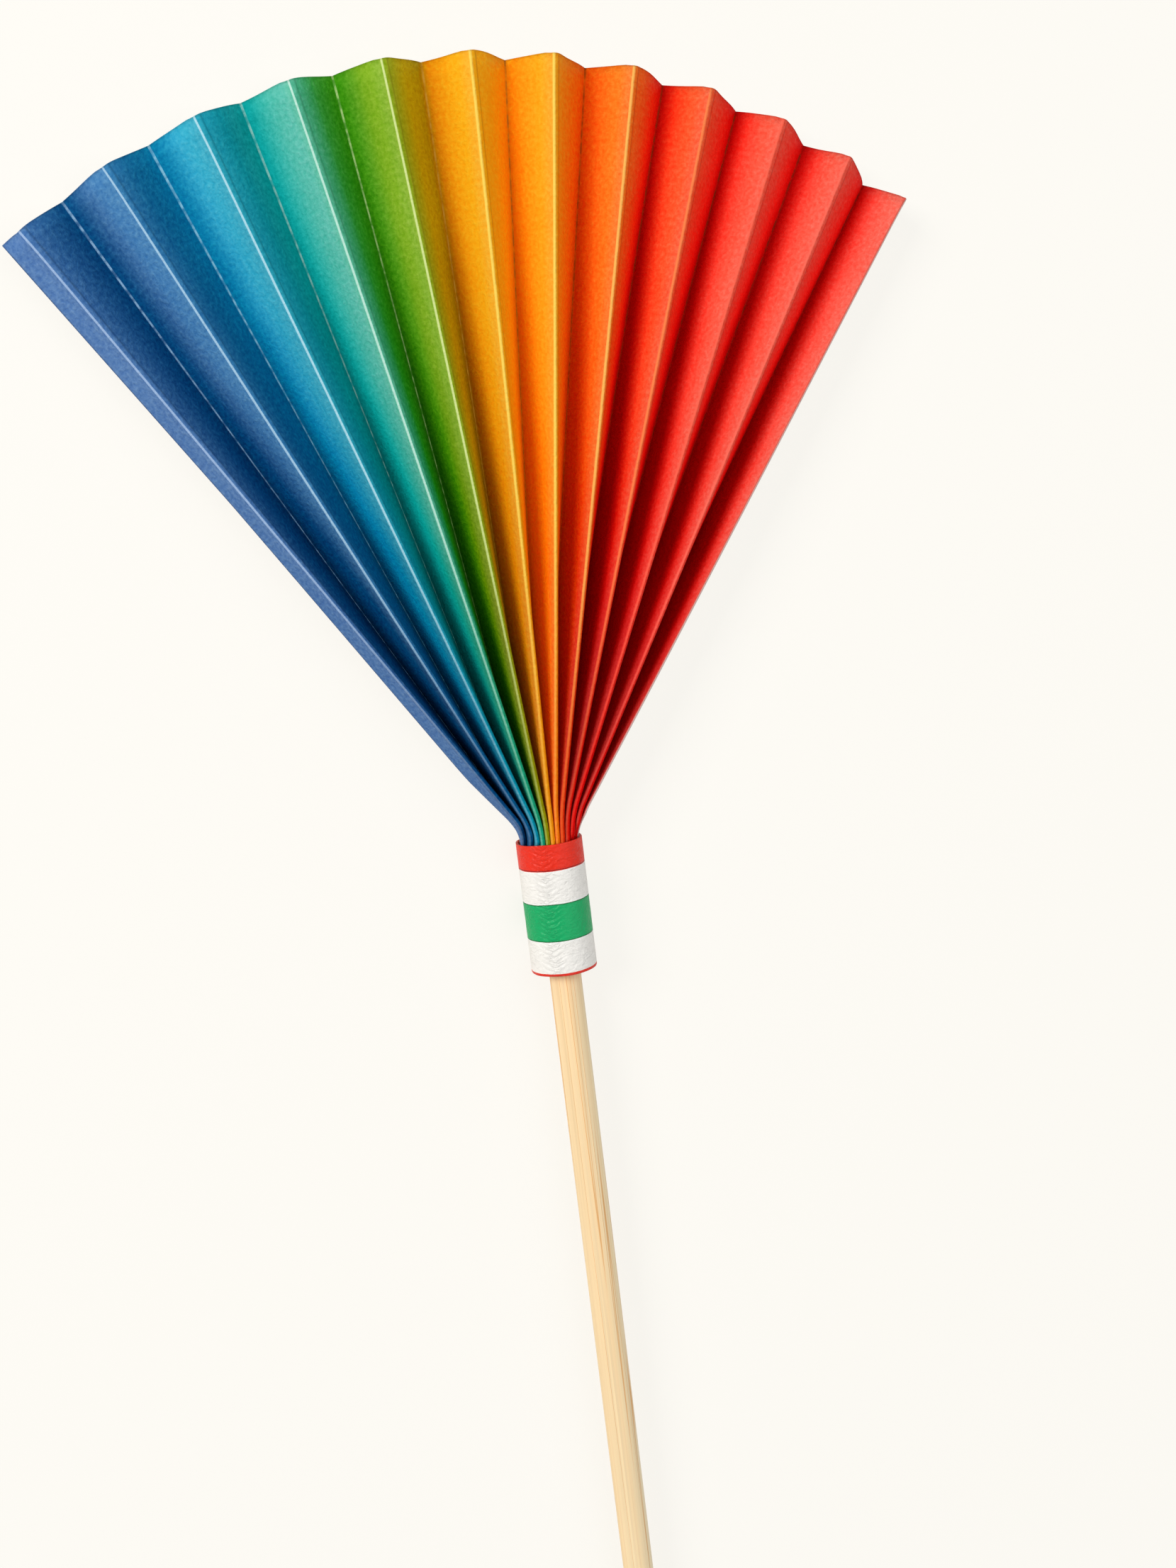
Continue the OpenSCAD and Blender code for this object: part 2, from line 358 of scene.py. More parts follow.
def crease(y):
    """Width of a crease: a whole layer's pitch in the foot, narrowing to a sharp fold."""
    return LAYER_PITCH + (CREASE_W - LAYER_PITCH) * np.clip(y / CREASE_RUN, 0, 1)


def pitch(i, y):
    """Distance between neighbouring folds at distance y, square to the folds."""
    turn = lean(i) * flared(y)
    spread = waist(y) * np.cos(turn) + np.maximum(0, y) * np.cos(lean(i) - turn) * lean_rate(i)
    return spread / HALF_COUNT


def half_depth(i, y):
    """Half the depth of the pleats: what a panel of constant width leaves between two folds,
    and no more than the sleeve's round pocket lets in."""
    free = np.sqrt((PANEL_W - crease(y)) ** 2 - (pitch(i, y) - crease(y)) ** 2) / 2
    face = np.abs(i - HALF_COUNT + 0.5) * LAYER_PITCH + LAYER_PITCH / 2 + PAPER_T / 2
    held = np.sqrt(FOOT_R ** 2 - np.minimum(END_FACE_X, face) ** 2) - PAPER_T / 2
    return np.minimum(free, held + DEPTH_RELEASE * np.maximum(0, y))


def drawn(i):
    """How much deeper than the middle fold line i sits in the sleeve."""
    return SIDE_DRAW * side(i) ** 2


def along(i, share):
    """The distance from the mouth on line i, at a share of the way: -1 is the foot's end, 0 the
    mouth and 1 the rim."""
    return np.where(share < 0, share * (FOOT_LEN + drawn(i)), share * (REACH - drawn(i)))


def rim_lift():
    """How far the middle of the rim stands over the stick's line: just so far that the lowest
    point of the back folds meets the floor."""
    i = np.arange(1, PANEL_COUNT, 2, dtype=float)[None, :]
    y = along(i, np.linspace(0.1, 1, 40)[:, None])
    return np.max((half_depth(i, y) + PAPER_T / 2 - SLEEVE_R + RIM_CLEAR) * REACH / y)


RIM_LIFT = rim_lift()


def on_line(i, y, across, deep):
    """The point of line i at distance y, moved sideways by across and forward by deep, all arrays
    that broadcast. The line runs straight up inside the sleeve, curves out through the flare, and
    then runs straight to the rim."""
    turn = lean(i) * flared(y)
    x = side(i) * waist(y) + np.maximum(0, y) * np.sin(lean(i)) + LAYER_PITCH / 2 * (1 - flared(y))
    return np.stack([
        x + np.cos(turn) * across,
        np.where(y < 0, y, y * np.cos(lean(i))) - np.sin(turn) * across,
        RIM_LIFT * np.maximum(0, y) / REACH + deep,
    ], axis=-1)


def fold_side(i, y, sign):
    """The left (-1) or right (1) side of fold i: even folds stand forward, odd ones back."""
    return on_line(float(i), y, sign * crease(y) / 2, (1 - 2 * (i % 2)) * half_depth(float(i), y))


def flap_edge(y):
    """The free edge of the narrow flap, part of the way down to where the next fold would be.
    Just above the sleeve the flap springs out to the left, turned about its fold."""
    share = (FLAP_W - crease(y) / 2) / (PANEL_W - crease(y))
    aside = -share * (pitch(0.0, y) - crease(y))
    down = -2 * share * half_depth(0.0, y)
    eased_in = np.clip((y - FLAP_FREE) / FLAP_RISE, 0, 1)
    turn = FLAP_SPRING * eased_in * np.clip((FLAP_CALM - y) / FLAP_FALL, 0, 1)
    out = -crease(y) / 2 + aside * np.cos(turn) + down * np.sin(turn)
    return on_line(0.0, y, out, half_depth(0.0, y) + down * np.cos(turn) - aside * np.sin(turn))


def panel_surface(panel, rows):
    """The middle surface of one panel, rows by columns, and the flat sheet's across position of
    its columns. The rows are shares of the way from the mouth to the rim. It is ruled from fold
    to fold, with a belly of four times share times one less share, and a slight ripple near the
    rim. A panel to the right of a front fold starts with that fold's shoulder, a quadratic curve
    whose control point is the crease's right side. At the rim the front folds' tips are worn down
    by a bell curve of the distance from the fold."""
    y = along(max(panel, 0), rows)
    left = flap_edge(y) if panel < 0 else fold_side(panel, y, 1)
    right = fold_side(panel + 1, along(panel + 1, rows), -1)
    faces_right = panel >= 0 and panel % 2 == 0
    open_share = np.clip(rows, 0, 1)[:, None]
    span = right - left
    width = np.linalg.norm(span, axis=1, keepdims=True)
    run = np.gradient((left + right) / 2, rows, axis=0)
    forward = np.cross(span, run)
    forward /= np.linalg.norm(forward, axis=1, keepdims=True)
    widened = SHOULDER_W * (SHOULDER_AT_MOUTH + (1 - SHOULDER_AT_MOUTH) * open_share)
    shoulder = np.minimum(widened, SHOULDER_LIMIT * width) if faces_right else 0 * width
    step = PANEL_STEPS[None, :]
    share = shoulder / width + (1 - shoulder / width) * step
    sag = BELLY_UNEVEN * np.sin(1.9 * panel + 0.4) + (BELLY_RIGHT if faces_right else BELLY_LEFT)
    ripple = RIPPLE * np.sin(1.7 * panel + 3.1 * open_share) * open_share ** 3
    lift = sag * open_share ** 1.6 * 4 * step * (1 - step) + ripple * np.sin(2 * np.pi * step)
    points = left[:, None] + span[:, None] * share[..., None] + forward[:, None] * lift[..., None]
    flat_left = -FLAP_W if panel < 0 else panel * PANEL_W
    flat_right = (panel + 1) * PANEL_W
    head = SHOULDER_W + CREASE_W if faces_right else 0.0
    across = flat_left + head + (flat_right - flat_left - head) * step[0]
    if faces_right:
        t = SHOULDER_STEPS[:, None]
        crest = fold_side(panel, y, -1)
        ease = points[:, 0]
        curve = (1 - t) ** 2 * crest[:, None] + 2 * t * (1 - t) * left[:, None] + t * t * ease[:, None]
        points = np.concatenate([curve, points], axis=1)
        across = np.concatenate([flat_left + head * t[:, 0], across])
    from_ridge = np.abs((across + PANEL_W) % (2 * PANEL_W) - PANEL_W)
    wear = TIP_WEAR * np.exp(-(from_ridge / TIP_WEAR_W) ** 2)
    points[..., 1] -= wear * open_share ** TIP_WEAR_FADE
    return points, across


def make_sheet():
    """The pleated sheet as a closed skin: its middle surface moved half the paper's thickness
    to the front and to the back, with strips round the free edges."""
    foot_shares = np.linspace(-1, 0, FOOT_ROWS + 1)[:-1]
    rows = np.concatenate([foot_shares, np.linspace(0, 1, OPEN_ROWS) ** ROW_CROWDING])
    panels = [panel_surface(panel, rows) for panel in range(-1, PANEL_COUNT)]
    middle = np.concatenate([points for points, _ in panels], axis=1)
    across = np.concatenate([flat for _, flat in panels])
    normal = np.cross(np.gradient(middle, axis=1), np.gradient(middle, axis=0))
    normal /= np.linalg.norm(normal, axis=2, keepdims=True)
    front = middle + normal * PAPER_T / 2
    back = middle - normal * PAPER_T / 2
    count_rows, count_cols = middle.shape[:2]
    size = count_rows * count_cols
    points = np.concatenate([front.reshape(-1, 3), back.reshape(-1, 3)]) + MOUTH
    left = np.arange(count_rows - 1) * count_cols
    right = left + count_cols - 1
    foot = np.arange(count_cols - 1)
    rim = foot + (count_rows - 1) * count_cols
    piece = write_piece("printed_fan", points, [
        grid_faces(count_rows, count_cols, 0, flip=True),
        grid_faces(count_rows, count_cols, size),
        np.stack([left, left + count_cols, left + count_cols + size, left + size], axis=1),
        np.stack([right, right + size, right + count_cols + size, right + count_cols], axis=1),
        np.stack([foot, foot + size, foot + 1 + size, foot + 1], axis=1),
        np.stack([rim, rim + 1, rim + 1 + size, rim + size], axis=1),
    ])
    line = np.maximum(across, 0)[None, :] / PANEL_W
    from_foot = along(line, rows[:, None]) + drawn(line) + FOOT_LEN
    flat = np.stack(np.broadcast_arrays(
        (across[None, :] + FLAP_W) / SHEET_W, from_foot / SHEET_W,
    ), axis=-1).reshape(-1, 2)
    write_uv(piece, "flat_sheet", np.concatenate([flat, flat]))
    write_value(piece, "reverse", np.repeat([0.0, 1.0], size))
    return piece


def printed_paper():
    """Uncoated art paper of about 160 grams, printed on one face with a smooth rainbow and then
    pleated: matt and finely pebbled, with painted shade down in the folds, on faces that look right
    and along the cut edges, a painted sheen on the pebbles towards the front folds, the ink cracked
    along the folds with a painted highlight on the front ones, and bare white paper on the back."""
    material, tree = new_material("printed_uncoated_paper")
    uv = add(tree, "UVMap", {"uv_map": "flat_sheet"})
    flat_mm = add(tree, "Mapping", Vector=uv, Scale=(SHEET_W, SHEET_W, 1.0))
    place = add(tree, "SeparateXYZ", Vector=uv)
    across = add(tree, "Math", TIMES_PLUS, in_0=place.outputs["X"], in_1=SHEET_W, in_2=-FLAP_W)
    up = add(tree, "Math", TIMES_PLUS, in_0=place.outputs["Y"], in_1=SHEET_W, in_2=-FOOT_LEN)

    # The rainbow as it is on the front folds, and darkened by painted shade as it is down in the back
    # folds. Most stops stand at the middles of panels, and a close pair parts olive from gold at a
    # fold.
    pale = add(tree, "ValToRGB", Fac=place.outputs["X"], stops=[
        (0.000, "#5C82BA"), (0.042, "#447CBA"), (0.087, "#5488C0"), (0.131, "#1A80B6"),
        (0.176, "#42B8D8"), (0.220, "#16A0B4"), (0.250, "#60C4B4"), (0.280, "#60C4B4"),
        (0.309, "#58B866"), (0.354, "#88B62A"), (0.374, "#8AB62A"), (0.398, "#CCB404"),
        (0.416, "#D0B406"), (0.426, "#FCB216"), (0.443, "#FFB618"), (0.545, "#FCB01C"),
        (0.621, "#FB861E"), (0.710, "#FB6230"), (0.800, "#FB6048"), (1.000, "#FB6958"),
    ])
    # The deep tone is the print in painted shade.
    deep = add(tree, "ValToRGB", Fac=place.outputs["X"], stops=[
        (0.000, "#034A80"), (0.087, "#024E86"), (0.131, "#025C8C"), (0.176, "#0294C2"),
        (0.220, "#028C98"), (0.265, "#06B6AE"), (0.309, "#209014"), (0.354, "#4C9602"),
        (0.398, "#B89602"), (0.416, "#AC9202"), (0.426, "#E48A04"), (0.443, "#F09404"),
        (0.488, "#FF9E06"), (0.545, "#FC8004"), (0.621, "#F24402"), (0.666, "#F81804"),
        (0.710, "#FA0A03"), (0.800, "#FA0606"), (1.000, "#F80C0A"),
    ])

    # Distance from the nearest front fold, which side of it a point is on, and distance from the
    # rim.
    from_ridge = add(tree, "Math", {"operation": "PINGPONG"}, in_0=across, in_1=PANEL_W)
    turns = add(tree, "Math", {"operation": "DIVIDE"}, in_0=across, in_1=2 * PANEL_W)
    turns = add(tree, "Math", {"operation": "FRACT"}, in_0=turns)
    faces_left = add(tree, "Math", {"operation": "GREATER_THAN"}, in_0=turns, in_1=0.5)
    right_only = add(tree, "Math", {"operation": "SUBTRACT"}, in_0=1.0, in_1=faces_left)
    from_rim = add(tree, "Math", {"operation": "SUBTRACT"}, in_0=REACH, in_1=up)

    # Pebble grain of about 0.4 mm, a little coarser than the real 0.25 mm so that it shows, and
    # slow clouds of 6 mm.
    grain = add(tree, "TexNoise", Vector=flat_mm, Scale=2.6, Detail=3.0, Roughness=0.6)
    cloud = add(tree, "TexNoise", Vector=flat_mm, Scale=0.16, Detail=2.0)

    # Painted shade, as a share of the deep tone: it grows from the front folds to the back ones and
    # away from the rim, sooner on faces that look right, but for their shoulder. The narrow flap stays
    # pale. A power of the distance from the rim counts as so many millimetres further from the front
    # fold.
    gain_right, power_right = 0.0115, 1.5
    gain_left, power_left = 0.0008, 2.2
    low = add(tree, "Math", {"operation": "POWER"}, in_0=from_rim, in_1=power_right)
    inward = add(tree, "Math", TIMES_PLUS, in_0=low, in_1=gain_right, in_2=from_ridge)
    low = add(tree, "Math", {"operation": "POWER"}, in_0=from_rim, in_1=power_left)
    inward_left = add(tree, "Math", TIMES_PLUS, in_0=low, in_1=gain_left, in_2=from_ridge)
    painted_shade_left = add(tree, "MapRange", SMOOTH, Value=inward_left, From_Min=0.9, From_Max=4.8)
    painted_shade_right = add(tree, "MapRange", SMOOTH, Value=inward, From_Min=-2.2, From_Max=5.2)
    least = add(tree, "MapRange", Value=from_rim, From_Min=28.0, From_Max=60.0, To_Min=0.15, To_Max=1.0)
    off_shoulder = add(
        tree, "MapRange", SMOOTH, Value=from_ridge,
        From_Min=0.38, From_Max=SHOULDER_W, To_Min=least, To_Max=1.0,
    )
    painted_shade_right = add(tree, "Math", TIMES, in_0=painted_shade_right, in_1=off_shoulder)
    painted_shade_share = add(tree, "Mix", {"data_type": "FLOAT"}, Factor=faces_left, A=painted_shade_right, B=painted_shade_left)
    off_flap = add(tree, "MapRange", Value=across, From_Min=-0.2, From_Max=0.0, To_Min=0.12, To_Max=1.0)
    painted_shade_share = add(tree, "Math", TIMES, in_0=painted_shade_share, in_1=off_flap)
    print_and_painted_shade = add(tree, "Mix", IN_COLOUR, Factor=painted_shade_share, A=pale.outputs["Color"], B=deep.outputs["Color"])

    # Painted shade: the red side is darker still down in the folds, above all on faces that look left.
    shade = add(tree, "MapRange", SMOOTH, Value=inward, From_Min=3.0, From_Max=5.6)
    red_side = add(tree, "MapRange", Value=place.outputs["X"], From_Min=0.58, From_Max=0.7)
    darkening = add(tree, "Mix", {"data_type": "FLOAT"}, Factor=faces_left, A=0.22, B=0.5)
    for factor in (red_side, darkening):
        shade = add(tree, "Math", TIMES, in_0=shade, in_1=factor)
    print_and_painted_shade = add(tree, "Mix", IN_COLOUR, Factor=shade, A=print_and_painted_shade, B=colour("#3A0402"))

    # The ink lies thinner on the pebbles and, by a quarter as much, in slow clouds.
    cloud_share = 0.24
    uneven = add(tree, "Math", TIMES_PLUS, in_0=cloud, in_1=cloud_share, in_2=grain)
    uneven = add(tree, "MapRange", Value=uneven, From_Min=0.36, From_Max=0.88, To_Min=1.24, To_Max=0.78)
    printed = add(tree, "Gamma", Color=print_and_painted_shade, Gamma=uneven)

    # A painted sheen on the pebbles near the front folds, on faces that look left, and only just
    # visible.
    painted_sheen = add(tree, "MapRange", SMOOTH, Value=from_ridge, From_Min=1.6, From_Max=0.0, To_Max=0.06)
    for factor in (grain, faces_left):
        painted_sheen = add(tree, "Math", TIMES, in_0=painted_sheen, in_1=factor)
    with_painted_sheen = add(tree, "Mix", IN_COLOUR, Factor=painted_sheen, A=printed, B=colour("#FFF4E8"))

    # Back folds: a thin line of cracked ink, pale and broken on the cool side, brown on the warm.
    crack_tone = add(tree, "ValToRGB", Fac=place.outputs["X"], stops=[
        (0.00, "#98B4DC"), (0.20, "#8CCFE2"), (0.33, "#B8DC90"), (0.42, "#DCA83C"),
        (0.55, "#B4580A"), (0.66, "#9A3410"), (1.00, "#8A1C14"),
    ])
    dash = add(tree, "TexNoise", Vector=flat_mm, Scale=1.1, Detail=2.0)
    dash = add(tree, "MapRange", Value=dash, From_Min=0.40, From_Max=0.56, To_Min=0.15, To_Max=0.8)
    valley = add(
        tree, "MapRange", SMOOTH, Value=from_ridge, From_Min=PANEL_W - 0.12, From_Max=PANEL_W - 0.05,
    )
    valley = add(tree, "Math", TIMES, in_0=valley, in_1=dash)
    cracked = add(tree, "Mix", IN_COLOUR, Factor=valley, A=with_painted_sheen, B=crack_tone.outputs["Color"])

    # Front folds: a crisp pale line, partly where the ink broke and partly a painted highlight,
    # fainter where the foot is pinched. From gold to orange the painted highlight runs over onto the
    # shoulder.
    wide_highlight_middle, wide_highlight_half = 0.6, 0.16
    broken = add(
        tree, "MapRange", SMOOTH, Value=up, From_Min=1.0, From_Max=40.0, To_Min=0.12, To_Max=0.8,
    )
    wide_highlight_span = add(
        tree, "Math", {"operation": "COMPARE"}, in_0=place.outputs["X"], in_1=wide_highlight_middle,
        in_2=wide_highlight_half,
    )
    wide_highlight_span = add(tree, "Math", TIMES, in_0=wide_highlight_span, in_1=right_only)
    wide = add(tree, "Mix", {"data_type": "FLOAT"}, Factor=wide_highlight_span, A=0.095, B=0.28)
    crest = add(tree, "MapRange", SMOOTH, Value=from_ridge, From_Min=wide, From_Max=0.04)
    crest = add(tree, "Math", TIMES, in_0=crest, in_1=broken)
    crest_crack_and_highlight_tone = add(tree, "ValToRGB", Fac=place.outputs["X"], stops=[
        (0.02, "#A8C4EA"), (0.20, "#BCE8F6"), (0.29, "#CCF2E4"), (0.376, "#E2F0A4"),
        (0.44, "#FFE068"), (0.56, "#FFE068"), (0.64, "#FFC868"), (0.73, "#FF8A50"),
        (0.82, "#FF6A54"), (1.00, "#FF7464"),
    ])
    with_crest_crack_and_highlight = add(tree, "Mix", IN_COLOUR, Factor=crest, A=cracked, B=crest_crack_and_highlight_tone.outputs["Color"])

    # A rough dark lip where the shoulder ends, and painted shade along the cut edges, where the ink's
    # edge is seen at a slant.
    lip_half, lip_depth = 0.07, 0.5
    lip = add(
        tree, "Math", {"operation": "COMPARE"}, in_0=from_ridge, in_1=SHOULDER_W, in_2=lip_half,
    )
    for factor in (right_only, grain, lip_depth):
        lip = add(tree, "Math", TIMES, in_0=lip, in_1=factor)
    edge_shade_and_lip = add(tree, "MapRange", SMOOTH, Value=from_rim, From_Min=0.2, From_Max=0.06, To_Max=0.26)
    from_middle = add(tree, "Math", {"operation": "SUBTRACT"}, in_0=place.outputs["X"], in_1=0.5)
    from_middle = add(tree, "Math", {"operation": "ABSOLUTE"}, in_0=from_middle)
    cut_side = add(
        tree, "MapRange", SMOOTH, Value=from_middle,
        From_Min=0.5 - 0.16 / SHEET_W, From_Max=0.5 - 0.04 / SHEET_W, To_Max=0.35,
    )
    for edge in (cut_side, lip):
        edge_shade_and_lip = add(tree, "Math", {"operation": "MAXIMUM"}, in_0=edge_shade_and_lip, in_1=edge)
    with_edge_shade_and_lip = add(tree, "Mix", TINTING, Factor=edge_shade_and_lip, A=with_crest_crack_and_highlight, B=colour("#8A6A60"))

    # The back: bare paper with faint fibres and a little of the print showing through.
    fibre = add(tree, "TexNoise", Vector=flat_mm, Scale=1.4, Detail=4.0, Roughness=0.65)
    bare = add(tree, "ValToRGB", Fac=fibre, stops=[
        (0.30, "#E6E3DC"), (0.50, "#F1EEE8"), (0.75, "#F7F5F0"),
    ])
    through = add(tree, "Mix", IN_COLOUR, Factor=0.10, A=bare.outputs["Color"], B=pale.outputs["Color"])
    reverse = add(tree, "Attribute", {"attribute_name": "reverse"}).outputs["Fac"]
    both = add(tree, "Mix", IN_COLOUR, Factor=reverse, A=with_edge_shade_and_lip, B=through)

    rough = add(tree, "MapRange", Value=grain, From_Min=0.3, From_Max=0.7, To_Min=0.76, To_Max=0.6)
    pebbled = add(tree, "Bump", Strength=1.0, Distance=0.12 * MM, Height=grain)
    surface = add(
        tree, "BsdfPrincipled", Base_Color=both, Roughness=rough, IOR=1.47, Normal=pebbled,
        Specular_IOR_Level=0.05,
    )
    add(tree, "OutputMaterial", Surface=surface)
    return material


# The wound sleeve.


def turned(radius, below, angle):
    """A profile carried round the stick's line: across and deep are the radius times the cosine and
    the sine of the angle, and the profile runs down. The three are arrays that broadcast."""
    x, y, z = np.broadcast_arrays(radius * np.cos(angle), -below, radius * np.sin(angle))
    return np.stack([x, y, z], axis=-1)


def make_sleeve():
    """The wound strip as a closed ring. A closed profile of (radius, distance below the mouth)
    runs down the outside, round the lower edge, up the bore with its step and over the mouth, and
    is carried round the stick's line. The outside shrinks by one strip's thickness in a full turn
    and steps back at the lap, which faces the floor. It is crumpled by a product of two sines, and
    both ends wave by a few hundredths."""
    pocket_r = SLEEVE_R - SLEEVE_WALL
    head_r = STICK_R - HEAD_DRAW + GLUE_GAP
    wall_rows = 60
    roll = np.linspace(0.3, 1.57, 4)
    down = np.concatenate([
        [0.015, 0.05], np.linspace(0.15, SLEEVE_LEN - LOWER_BEVEL, wall_rows),
        SLEEVE_LEN - LOWER_BEVEL * (1 - np.sin(roll)),
    ])
    inset = np.concatenate([[0.03, 0.006], np.zeros(wall_rows), LOWER_BEVEL * (1 - np.cos(roll))])
    end_r = np.append(SLEEVE_R - np.array([0.17, 0.2, 0.5, 1.1]), STICK_R + 0.03)
    end_y = SLEEVE_LEN - np.array([0.0, 0.03, 0.02, 0.03, 0.01])
    bore_r = np.array([
        STICK_R + GLUE_GAP, (STICK_R + head_r) / 2, head_r, pocket_r - 0.02, pocket_r,
    ])
    bore_y = np.array([
        SLEEVE_LEN - 0.04, SLEEVE_LEN - 3.0, POCKET_DEPTH, POCKET_DEPTH, POCKET_DEPTH - 0.02,
    ])
    mouth_r = np.append(pocket_r + np.array([0.0, 0.0, 0.02, 0.08, 0.1, 0.12]), SLEEVE_R - 0.06)
    mouth_y = np.array([3.0, 0.05, 0.0, -0.005, 0.02, -0.005, 0.0])
    radius = np.concatenate([SLEEVE_R - inset, end_r, bore_r, mouth_r])[:, None]
    below = np.concatenate([down, end_y, bore_y, mouth_y])[:, None]
    outside = (np.arange(len(radius)) < len(down))[:, None]

    # Even steps round the turn, and one last just short of the lap, where the step back is.
    turn_steps, lap_end, lap_angle = 144, 0.9985, -np.pi / 2 + 0.5
    share = np.append(np.linspace(0, 1, turn_steps, endpoint=False), lap_end)[None, :]
    angle = lap_angle + 2 * np.pi * share
    lap = STRIP_T * share
    crumple = CRUMPLE * np.sin(7 * angle + 1.3 * below) * np.sin(3.1 * below + 2 * angle) - CRUMPLE
    radius = radius + outside * (crumple - lap)
    wave = 0.025 * np.sin(2 * angle + 0.8) + 0.012 * np.sin(5 * angle)
    near_end = np.where(below < 1, 1 - np.clip(below, 0, 1), np.clip(below - SLEEVE_LEN + 1, 0, 1))
    below = below + wave * near_end
    points = turned(radius, below, angle)
    rows, cols = points.shape[:2]
    ring = np.arange(cols)
    last = (rows - 1) * cols
    closing = np.stack([last + ring, ring, (ring + 1) % cols, last + (ring + 1) % cols], axis=1)
    piece = write_piece("wound_sleeve", points.reshape(-1, 3) + MOUTH, [
        grid_faces(rows, cols, closed=True, flip=True), closing[:, ::-1],
    ])
    strip = np.stack(np.broadcast_arrays(share, below / SLEEVE_LEN), axis=-1).reshape(-1, 2)
    write_uv(piece, "strip", strip)
    write_value(piece, "inside", np.repeat(np.arange(rows) >= len(down), cols).astype(float))
    return piece


def varnished_strip():
    """A wound strip of thin varnished paper, printed in red, white and green bands: half glossy
    and finely wrinkled round the turn, with a painted highlight along the white bands' edges and
    painted shade along the red and green bands'."""
    material, tree = new_material("varnished_printed_paper")
    uv = add(tree, "UVMap", {"uv_map": "strip"})
    round_mm = add(tree, "Mapping", Vector=uv, Scale=(2 * np.pi * SLEEVE_R, SLEEVE_LEN, 1.0))
    place = add(tree, "SeparateXYZ", Vector=uv)
    drift = add(tree, "TexNoise", Vector=round_mm, Scale=0.5, Detail=2.0)
    drift = add(tree, "MapRange", Value=drift, To_Min=-0.004, To_Max=0.004)
    below = add(tree, "Math", {"operation": "ADD"}, in_0=place.outputs["Y"], in_1=drift)

    # The bands from the mouth down, with a painted highlight along the white bands' edges and painted
    # shade along the red and green bands'. Their edges wander by a few hundredths of a millimetre.
    edge = np.cumsum(BANDS)[:4] / SLEEVE_LEN
    line = 0.14 / SLEEVE_LEN
    bands_and_painted_edge_lines = add(tree, "ValToRGB", {"interpolation": "CONSTANT"}, Fac=below, stops=[
        (0.0, "#F22C12"), (edge[0] - 1.1 * line, "#A0120A"), (edge[0] - 0.4 * line, "#EC4432"),
        (edge[0], "#FFFFFD"), (edge[0] + line, "#FCFAF6"),
        (edge[1] - line, "#FFFFFD"), (edge[1], "#047038"), (edge[1] + 0.7 * line, "#02AE66"),
        (edge[2] - 0.7 * line, "#047038"), (edge[2], "#FFFFFD"), (edge[2] + line, "#FCFAF6"),
        (edge[3] - 0.6 * line, "#FBF2EC"), (edge[3], "#E8301F"),
    ])
    inside = add(tree, "Attribute", {"attribute_name": "inside"}).outputs["Fac"]
    toned = add(tree, "Mix", IN_COLOUR, Factor=inside, A=bands_and_painted_edge_lines.outputs["Color"], B=colour("#C9301F"))
    stain = add(tree, "TexNoise", Vector=round_mm, Scale=1.3, Detail=4.0, Roughness=0.6)
    stain = add(tree, "MapRange", Value=stain, From_Min=0.3, From_Max=0.7, To_Min=0.96, To_Max=1.03)
    toned = add(tree, "Mix", TINTING, Factor=1.0, A=toned, B=stain)

    # Wrinkles of about 0.5 mm, longer round the turn than along it, with fine ones over them.
    fine_share = 0.25
    squeezed = add(tree, "Mapping", Vector=round_mm, Scale=(0.9, 1.7, 1.0))
    wrinkle = add(tree, "TexNoise", Vector=squeezed, Scale=1.5, Detail=3.0, Distortion=1.2)
    fine = add(tree, "TexNoise", Vector=round_mm, Scale=4.0, Detail=2.0)
    height = add(tree, "Math", TIMES_PLUS, in_0=fine, in_1=fine_share, in_2=wrinkle)

    # A spine of small pointed wrinkles where the wound strip buckled: a sine every half millimetre
    # along the sleeve, shifted by the distance from the spine and unevenly by the wrinkles.
    spine_at, slant, wander, turn_per_mm = 9.7, 0.5, 0.7, 12.5
    spot = add(tree, "SeparateXYZ", Vector=round_mm)
    from_spine = add(tree, "Math", {"operation": "SUBTRACT"}, in_0=spot.outputs["X"], in_1=spine_at)
    from_spine = add(tree, "Math", {"operation": "ABSOLUTE"}, in_0=from_spine)
    phase = add(tree, "Math", TIMES_PLUS, in_0=wrinkle, in_1=wander, in_2=spot.outputs["Y"])
    phase = add(tree, "Math", TIMES_PLUS, in_0=from_spine, in_1=slant, in_2=phase)
    phase = add(tree, "Math", TIMES, in_0=phase, in_1=turn_per_mm)
    buckle = add(tree, "Math", {"operation": "SINE"}, in_0=phase)
    near_spine = add(
        tree, "MapRange", SMOOTH, Value=from_spine, From_Min=1.7, From_Max=0.2, To_Max=0.3,
    )
    height = add(tree, "Math", TIMES_PLUS, in_0=buckle, in_1=near_spine, in_2=height)
    wrinkled = add(tree, "Bump", Strength=0.8, Distance=0.15 * MM, Height=height)
    rough = add(tree, "MapRange", Value=stain, From_Min=0.96, From_Max=1.03, To_Min=0.38, To_Max=0.26)
    surface = add(
        tree, "BsdfPrincipled", Base_Color=toned, Roughness=rough, IOR=1.48, Normal=wrinkled,
        Specular_IOR_Level=0.28,
    )
    add(tree, "OutputMaterial", Surface=surface)
    return material


# The stick.


